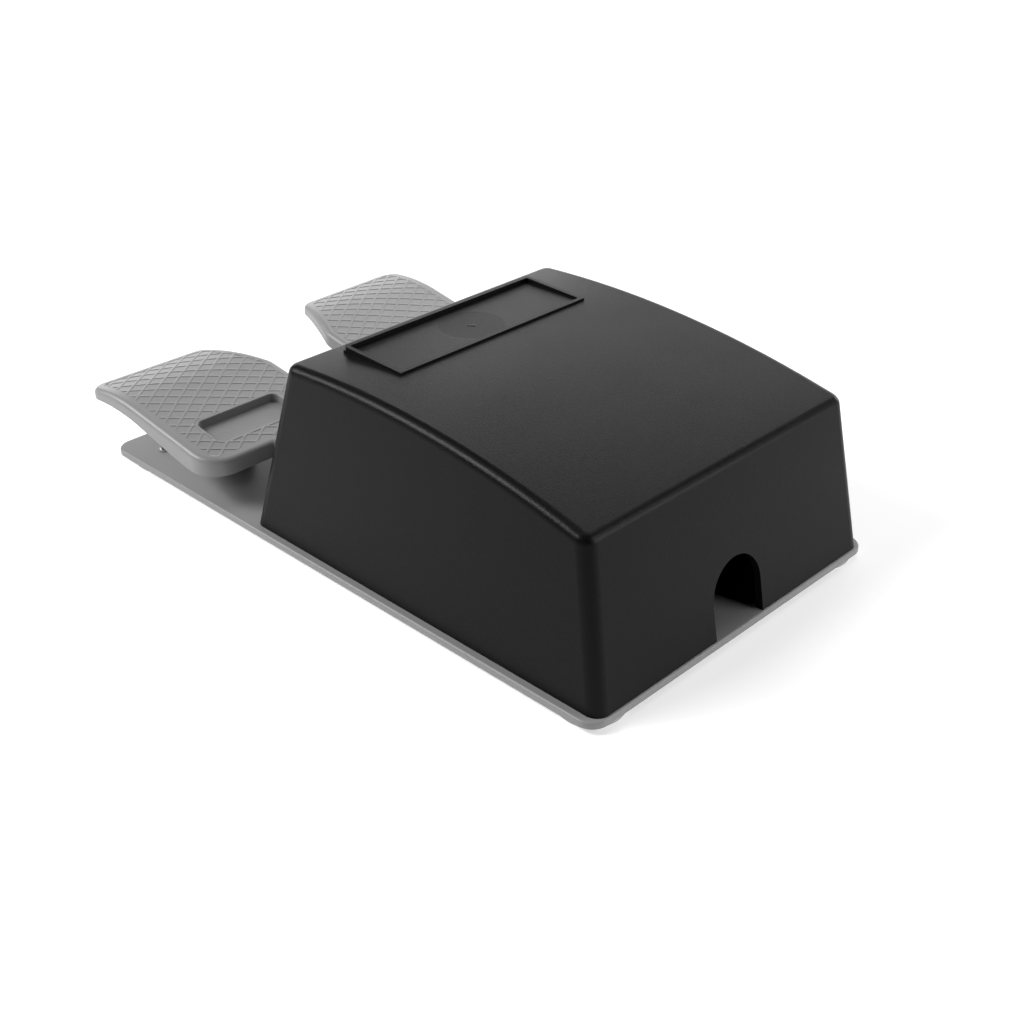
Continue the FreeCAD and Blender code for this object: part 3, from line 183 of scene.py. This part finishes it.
def moulded(name, colour, roughness, grain, depth, level=0.5, swing=0.12, uneven=0.05,
            marks=(), rib=0.0):
    """Moulded plastic: an etched sand grain, faint flow clouds and a touch of uneven gloss.

    Swing is how far the colour goes to both sides, and uneven how far the roughness goes over a
    few centimetres. Marks are the (x, y, radius, height) of round traces that the mould left, in
    metres, and rib is the height of the tread's ribs.
    """
    finish = Finish(name, Specular_IOR_Level=level)
    clouds = finish.noise(18 * MILLI, 3.0)
    sand = finish.noise(grain, 3.0, 0.6)
    shade = clouds * 0.7 + sand * 0.3
    relief = sand * depth
    gloss = roughness - (uneven + SAND_GLOSS) / 2 + clouds * uneven + sand * SAND_GLOSS
    for x, y, radius, height in marks:
        edge = min(0.25 * radius, 0.25 * MILLI)
        outside = finish.reach(x, y).band(radius - edge, radius + edge)
        shade = shade * ((1 - MARK_SHADE) + outside * MARK_SHADE)
        gloss = gloss + (1 - outside) * MARK_DULLING
        relief = relief + (1 - outside) * height
    if rib:
        relief = relief + tread(finish) * rib
    dark = scaled(colour, 1 - swing)
    light = scaled(colour, 1 + swing)
    finish.feed("Base Color", finish.mix(shade, dark, light))
    finish.feed("Roughness", gloss)
    finish.feed("Normal", finish.bump(relief, 1.0))
    return finish.material


def tread(finish):
    """Height from 0 to 1 of the tread's ribs, which swell softly where two families of lines cross.

    The lines stand a pitch apart at an angle to both sides. They stop short of the pad's edges,
    which are straight in plan, and of the sunk field, and the pad's underside has none.
    """
    across = finish.along("X")
    away = across.size()
    forth = finish.along("Y") - across.sign() * TREAD_LEAN
    turn = math.radians(TREAD_ANGLE)
    ribs = None
    for sine in (math.sin(turn), -math.sin(turn)):
        line = (away - TREAD_MIDDLE[0]) * sine + (forth - TREAD_MIDDLE[1]) * math.cos(turn)
        rib = 1 - line.beside(TREAD_PITCH).band(*TREAD_FLANK)
        ribs = rib if ribs is None else ribs.most(rib)
    for (x0, y0), (x1, y1), margin in TREAD_EDGES:
        length = math.hypot(x1 - x0, y1 - y0)
        inward = (away - x0) * ((y0 - y1) / length) + (forth - y0) * ((x1 - x0) / length)
        ribs = ribs * inward.band(margin - TREAD_FADE, margin + TREAD_FADE)
    (low_x, low_y), (high_x, high_y) = FIELD_EDGES
    outside = (low_x - away).most(away - high_x).most(low_y - forth).most(forth - high_y)
    upward = finish.node("NewGeometry", output="Normal")
    rise = finish.node("SeparateXYZ", {}, {"Vector": upward}, "Z")
    return ribs * outside.band(-TREAD_FADE, TREAD_FADE) * rise.band(0.5, 0.8)


def painted(name, colour, roughness, peel, depth):
    """Sprayed enamel: an orange-peel swell with fine flecks of pigment."""
    finish = Finish(name, Specular_IOR_Level=0.4)
    swell = finish.noise(peel, 1.0)
    flecks = finish.noise(0.35 * MILLI, 2.0)
    clouds = finish.noise(30 * MILLI, 2.0)
    shade = clouds * 0.5 + flecks * 0.5
    finish.feed("Base Color", finish.mix(shade, scaled(colour, 0.9), scaled(colour, 1.1)))
    finish.feed("Roughness", roughness + flecks * 0.08)
    finish.feed("Normal", finish.bump(swell * 0.8 + flecks * 0.2, depth))
    return finish.material


def metal(name, colour, roughness):
    """Plated or turned metal with a fine uneven gloss."""
    finish = Finish(name, Metallic=1.0)
    tarnish = finish.noise(2.5 * MILLI, 3.0)
    fine = finish.noise(0.4 * MILLI, 3.0, 0.6)
    finish.feed("Base Color", finish.mix(tarnish * 0.7 + fine * 0.3, scaled(colour, 0.85), colour))
    finish.feed("Roughness", roughness + tarnish * 0.12 + fine * 0.06)
    finish.feed("Normal", finish.bump(fine, 0.01 * MILLI))
    return finish.material


def rubber(name, colour, roughness):
    """Soft moulded rubber with a matt bloom."""
    finish = Finish(name, Specular_IOR_Level=0.25)
    bloom = finish.noise(4 * MILLI, 4.0)
    fine = finish.noise(0.25 * MILLI, 2.0)
    finish.feed("Base Color", finish.mix(bloom, scaled(colour, 0.85), colour))
    finish.feed("Roughness", roughness + fine * 0.1)
    finish.feed("Normal", finish.bump(fine, 0.02 * MILLI))
    return finish.material


# The tread's lattice on the pad at +X, in plan; the pad at -X is its mirror image. Two of its lines
# cross in the middle. The pads rest at different angles, which shifts one lattice forward and the
# other back. A rib's flank falls from full height to none between two distances from its line.
TREAD_ANGLE = 37.1
TREAD_PITCH = 4.15 * MILLI
TREAD_MIDDLE = (38.05 * MILLI, -69.98 * MILLI)
TREAD_LEAN = -0.24 * MILLI
TREAD_FLANK = (0.12 * MILLI, 0.62 * MILLI)
TREAD_FADE = 0.2 * MILLI
TREAD_RIB = 0.10 * MILLI
PAD_INNER = (11.5 * MILLI, -79.1 * MILLI)
PAD_NOSE = (21.7 * MILLI, -104.9 * MILLI)
PAD_TIP = (64.6 * MILLI, -106.4 * MILLI)
PAD_REAR_OUTER = (64.6 * MILLI, -40.9 * MILLI)
PAD_REAR_INNER = (11.5 * MILLI, -40.9 * MILLI)
TREAD_MARGIN = 3.0 * MILLI
TREAD_OUTER_MARGIN = 3.9 * MILLI
TREAD_EDGES = [(PAD_INNER, PAD_NOSE, TREAD_MARGIN),
               (PAD_NOSE, PAD_TIP, TREAD_MARGIN),
               (PAD_TIP, PAD_REAR_OUTER, TREAD_OUTER_MARGIN),
               (PAD_REAR_OUTER, PAD_REAR_INNER, TREAD_MARGIN),
               (PAD_REAR_INNER, PAD_INNER, TREAD_MARGIN)]
FIELD_EDGES = ((22.4 * MILLI, -63.8 * MILLI), (54.8 * MILLI, -48.6 * MILLI))

# The round trace and the cut-off gate's two bumps in the label's floor, and the ejector marks in
# the sunk fields
LABEL_MARKS = [(0.0, 4.0 * MILLI, 9.8 * MILLI, -0.02 * MILLI),
               (0.5 * MILLI, 3.6 * MILLI, 0.6 * MILLI, 0.35 * MILLI),
               (-0.4 * MILLI, 4.5 * MILLI, 0.7 * MILLI, 0.35 * MILLI)]
EJECTOR_MARKS = [(side * x, -55.6 * MILLI, 2.4 * MILLI, -0.02 * MILLI)
                 for side in (1, -1) for x in (29.8 * MILLI, 48.6 * MILLI)]

finishes = {
    "cover_plastic": moulded("cover_plastic", grey(0.0035), 0.33, 0.42 * MILLI, 0.05 * MILLI,
                             0.095, uneven=0.10, marks=LABEL_MARKS),
    "pedal_plastic": moulded("pedal_plastic", grey(0.22), 0.38, 0.3 * MILLI, 0.01 * MILLI,
                             0.36, 0.05, marks=EJECTOR_MARKS, rib=TREAD_RIB),
    "plate_paint": painted("plate_paint", grey(0.215), 0.42, 1.6 * MILLI, 0.02 * MILLI),
    "foot_rubber": rubber("foot_rubber", grey(0.42), 0.6),
    "stop_rubber": rubber("stop_rubber", grey(0.018), 0.6),
    "zinc_steel": metal("zinc_steel", (0.62, 0.63, 0.64, 1), 0.26),
    "spring_steel": metal("spring_steel", (0.45, 0.45, 0.46, 1), 0.3),
    "shaft_steel": metal("shaft_steel", (0.58, 0.58, 0.58, 1), 0.2),
    "bush_nylon": moulded("bush_nylon", grey(0.62, 0.02), 0.4, 0.3 * MILLI, 0.005 * MILLI,
                          swing=0.04),
    "switch_plastic": moulded("switch_plastic", grey(0.014), 0.4, 0.3 * MILLI, 0.01 * MILLI),
    "lid_plastic": moulded("lid_plastic", grey(0.02), 0.4, 0.3 * MILLI, 0.01 * MILLI),
    "plunger_plastic": moulded("plunger_plastic", (0.32, 0.03, 0.02, 1), 0.35, 0.3 * MILLI,
                               0.004 * MILLI, swing=0.05),
    "brass": metal("brass", (0.78, 0.57, 0.25, 1), 0.25),
}


def dress_frame():
    """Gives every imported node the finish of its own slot."""
    for node in nodes.values():
        for slot in node.material_slots:
            slot.material = finishes[slot.material.name.split(".")[0]]


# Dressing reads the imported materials' names, so those are kept apart from the new ones first
for imported in list(bpy.data.materials):
    if imported not in finishes.values():
        imported.name = imported.name.split(".")[0] + ".packed"
dress_frame()


# A wound wire's steps in each turn, its sides, the rings of each half-round end as angles below
# the equator, the radius at the end's pole as a share of the wire's, and how far an end turn climbs
STEPS_PER_TURN = 40
WIRE_SIDES = 14
DOME_ANGLES = (-90, -67.5, -45, -22.5)
POLE_SHARE = 0.02
END_CLIMB = 1.5


def coil_mesh(name, middle, levels, turns, radius, wire, hand):
    """A round wire wound about an upright axis.

    The wire's centre runs round a circle while it climbs evenly, apart from the two end turns,
    which climb only one and a half wires each. Its section is a circle square to the run, and both
    ends are half spheres.
    """
    step = 1 / STEPS_PER_TURN
    low, high = levels[0] + wire / 2, levels[1] - wire / 2
    run = np.arange(0, turns + step / 2, step)
    rise = np.interp(run, [0, 1, turns - 1, turns],
                     [low, low + END_CLIMB * wire, high - END_CLIMB * wire, high])
    angle = 2 * np.pi * run
    out = np.stack([hand * np.cos(angle), np.sin(angle), np.zeros_like(run)], 1)
    axis = np.stack([np.full_like(run, middle[0]), np.full_like(run, middle[1]), rise], 1)
    centre = out * radius + axis
    way = np.gradient(centre, axis=0)
    way /= np.linalg.norm(way, axis=1)[:, None]
    dome = np.sin(np.radians(DOME_ANGLES))
    lead = centre[0] + way[0] * dome[:, None] * wire / 2
    tail = centre[-1] - way[-1] * dome[::-1, None] * wire / 2
    round_off = np.sqrt(1 - dome ** 2)
    thick = np.concatenate([round_off, np.ones(len(run)), round_off[::-1]])
    thick = np.maximum(thick, POLE_SHARE) * wire / 2
    centre = np.concatenate([lead, centre, tail])
    rings = len(dome)
    out = np.concatenate([np.repeat(out[:1], rings, 0), out, np.repeat(out[-1:], rings, 0)])
    way = np.concatenate([np.repeat(way[:1], rings, 0), way, np.repeat(way[-1:], rings, 0)])
    side = np.cross(way, out)
    turn = 2 * np.pi * np.arange(WIRE_SIDES) / WIRE_SIDES
    across = out[:, None] * np.cos(turn)[None, :, None]
    along = side[:, None] * np.sin(turn)[None, :, None]
    points = (centre[:, None] + (across + along) * thick[:, None, None]).reshape(-1, 3)
    row = np.arange(len(centre) - 1)[:, None] * WIRE_SIDES
    here = row + np.arange(WIRE_SIDES)[None, :]
    there = row + (np.arange(WIRE_SIDES)[None, :] + 1) % WIRE_SIDES
    faces = np.stack([here, there, there + WIRE_SIDES, here + WIRE_SIDES], -1).reshape(-1, 4)
    faces = faces.tolist()
    faces.append(list(range(WIRE_SIDES))[::-1])
    faces.append(list(range(len(points) - WIRE_SIDES, len(points))))
    mesh = bpy.data.meshes.new(name)
    mesh.from_pydata(points.tolist(), [], faces)
    mesh.shade_smooth()
    return mesh


# The return springs' wire and turns, and how much of its length each keeps with the pedal down,
# by side and hand of winding
SPRING_WIRE = 1.0 * MILLI
SPRING_TURNS = 6
SPRING_KEEPS = (("left", -1, 0.791), ("right", 1, 0.845))


def add_springs():
    """Finer coils for both return springs, each in place of the imported one.

    The tail's peg swings a little towards the pedals while it rises.
    """
    wire = SPRING_WIRE
    for side, hand, keep in SPRING_KEEPS:
        node = side + "_return_spring"
        low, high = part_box(node)
        middle = ((low[0] + high[0]) / 2, (low[1] + high[1]) / 2)
        radius = (high[1] - low[1] - wire) / 2
        name = side + "_wound_spring"
        mesh = coil_mesh(name, middle, (low[2], high[2]), SPRING_TURNS, radius, wire, hand)
        spring = bpy.data.objects.new(name, mesh)
        bpy.context.scene.collection.objects.link(spring)
        mesh.materials.append(finishes["spring_steel"])
        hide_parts(node)
        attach(spring, "base")
        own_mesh(spring)


# The camera of the reference view: bearing from the front, height and roll in degrees, the point
# it was fitted round, its distance from there, how far it is moved left and down, and its lens
VIEW_BEARING, VIEW_HEIGHT, VIEW_ROLL = 134.329, 30.515, -0.089
VIEW_TARGET = (0, 0.001423, 0.025)
VIEW_DISTANCE, VIEW_LEFT, VIEW_DOWN = 0.443971, -0.013615, 0.024589
VIEW_LENS, VIEW_SENSOR = 51.517, 36.0


def add_camera():
    """The camera of the reference view."""
    azimuth = math.radians(VIEW_BEARING)
    elevation = math.radians(VIEW_HEIGHT)
    roll = math.radians(VIEW_ROLL)
    back = Vector((math.sin(azimuth) * math.cos(elevation),
                   -math.cos(azimuth) * math.cos(elevation), math.sin(elevation)))
    level = Vector((math.cos(azimuth), math.sin(azimuth), 0))
    rise = back.cross(level)
    right = level * math.cos(roll) + rise * math.sin(roll)
    up = rise * math.cos(roll) - level * math.sin(roll)
    data = bpy.data.cameras.new("view_camera")
    data.sensor_width = VIEW_SENSOR
    data.lens = VIEW_LENS
    data.clip_start = 0.01
    data.clip_end = 100.0
    camera = bpy.data.objects.new("view_camera", data)
    place = Vector(VIEW_TARGET) + back * VIEW_DISTANCE - right * VIEW_LEFT - up * VIEW_DOWN
    turned = Matrix((right, up, back)).transposed().to_4x4()
    camera.matrix_world = Matrix.Translation(place) @ turned
    bpy.context.scene.collection.objects.link(camera)
    bpy.context.scene.camera = camera


# The floor glows with painted light, though it is no lamp. Its glow fades from the near to the
# round value over one reach, and rises to the far value over the other, all as distances from the
# middle of the switch. The near glow fills the switch's shadow on the floor round it, and the far
# glow keeps the far floor white where the lamps fall off.
NEAR_PAINTED_GLOW, ROUND_PAINTED_GLOW, FAR_PAINTED_GLOW = 0.45, 0.17, 1.0
NEAR_REACH = (0.13, 0.30)
FAR_REACH = (0.5, 1.6)
FLOOR_HALF = 40.0


def add_floor():
    """A wide pale floor that glows with painted light, which fills the switch's shadow round it."""
    half = FLOOR_HALF
    corners = [(-half, -half, 0), (half, -half, 0), (half, half, 0), (-half, half, 0)]
    mesh = bpy.data.meshes.new("floor")
    mesh.from_pydata(corners, [], [(0, 1, 2, 3)])
    floor = bpy.data.objects.new("floor", mesh)
    bpy.context.scene.collection.objects.link(floor)
    finish = Finish("floor_paper", Roughness=0.9, Specular_IOR_Level=0.0, Emission_Strength=1.0)
    shade = finish.noise(0.4, 2.0)
    finish.feed("Base Color", finish.mix(shade, grey(0.71), grey(0.73)))
    # Painted light: the emission is strongest round the switch to fill its shadow, and white far
    # off
    reach = finish.reach(0, 0)
    near = finish.mix(reach.band(*NEAR_REACH), grey(NEAR_PAINTED_GLOW), grey(ROUND_PAINTED_GLOW))
    finish.feed("Emission Color", finish.mix(reach.band(*FAR_REACH), near, grey(FAR_PAINTED_GLOW)))
    floor.data.materials.append(finish.material)


# Bearing from +X towards +Y and height above the floor, in degrees, and brightness of each lamp
SOFTBOXES = [(120, 12, 5.9), (180, 12, 5.1), (120, 35, 4.2), (240, 12, 2.8), (210, 35, 2.7),
             (180, 60, 1.9), (0, 90, 1.6), (210, 12, 1.4), (300, 60, 1.1)]
STRIPS = [(302, 27, 14.5), (315, 37, 22.0), (330, 46, 27.0)]
SOFTBOX_SIZE = (0.9, 0.5)
STRIP_SIZE = (0.6, 0.22)
LAMP_DISTANCE = 1.5
LAMP_TARGET = Vector((0, 0, 0.03))


def add_lamp(name, size, bearing, height, strength):
    """A soft light that looks at the switch: its power is brightness times pi times area."""
    data = bpy.data.lights.new(name, "AREA")
    data.shape = "RECTANGLE"
    data.size, data.size_y = size
    data.energy = strength * math.pi * size[0] * size[1]
    lamp = bpy.data.objects.new(name, data)
    around, above = math.radians(bearing), math.radians(height)
    way = Vector((math.cos(above) * math.cos(around), math.cos(above) * math.sin(around),
                  math.sin(above)))
    lamp.location = way * LAMP_DISTANCE
    look = LAMP_TARGET - lamp.location
    lamp.rotation_euler = look.to_track_quat("-Z", "Y").to_euler()
    bpy.context.scene.collection.objects.link(lamp)


def add_light():
    """Lamps round the switch, before a white backdrop that lights nothing itself."""
    world = bpy.data.worlds.new("studio")
    world.use_nodes = True
    background = world.node_tree.nodes["Background"]
    background.inputs["Color"].default_value = (1, 1, 1, 1)
    seen = world.node_tree.nodes.new("ShaderNodeLightPath")
    world.node_tree.links.new(seen.outputs["Is Camera Ray"], background.inputs["Strength"])
    bpy.context.scene.world = world
    for number, place in enumerate(SOFTBOXES):
        add_lamp("softbox_%d" % number, SOFTBOX_SIZE, *place)
    for number, place in enumerate(STRIPS):
        add_lamp("strip_%d" % number, STRIP_SIZE, *place)
    scene = bpy.context.scene
    scene.view_settings.view_transform = "Standard"
    scene.view_settings.look = "None"


add_springs()
add_camera()
add_floor()
add_light()
